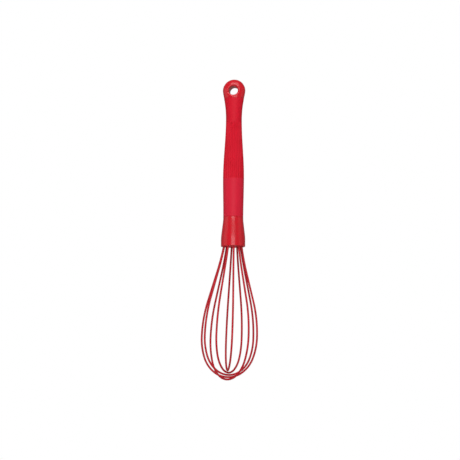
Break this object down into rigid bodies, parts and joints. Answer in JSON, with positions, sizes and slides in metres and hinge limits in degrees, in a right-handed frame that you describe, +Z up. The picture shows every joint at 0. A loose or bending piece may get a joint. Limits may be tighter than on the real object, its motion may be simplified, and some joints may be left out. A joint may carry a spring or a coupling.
{
  "type": "balloon whisk",
  "caption": "Balloon whisk with silicone-coated wire loops, a flared collar, a soft-grip handle and a hanging eye.",
  "frame": {"origin": "middle of the hanging eye's hole", "axes": "+Y along the eye's hole, +Z up the handle, so the balloon hangs below"},
  "size_m": [0.0547, 0.0503, 0.2879],
  "materials": {
    "red_plastic": "glossy red moulding",
    "soft_grip": "satin soft-touch red",
    "coat_silicone": "smooth satin red silicone",
    "seal_silicone": "matte red silicone",
    "spring_steel": "drawn spring wire",
    "seat_plastic": "natural moulded plastic",
    "resin": "cured potting resin"
  },
  "bodies": {
    "root": {"handle_core": "red_plastic", "grip_sleeve": "soft_grip", "collar": "red_plastic", "wire_seat": "seat_plastic", "resin_fill": "resin", "mouth_seal": "seal_silicone", "wire_1": "spring_steel", "coat_1": "coat_silicone", "wire_2": "spring_steel", "coat_2": "coat_silicone", "wire_3": "spring_steel", "coat_3": "coat_silicone", "wire_4": "spring_steel", "coat_4": "coat_silicone", "wire_5": "spring_steel", "coat_5": "coat_silicone"}
  },
  "joints": []
}
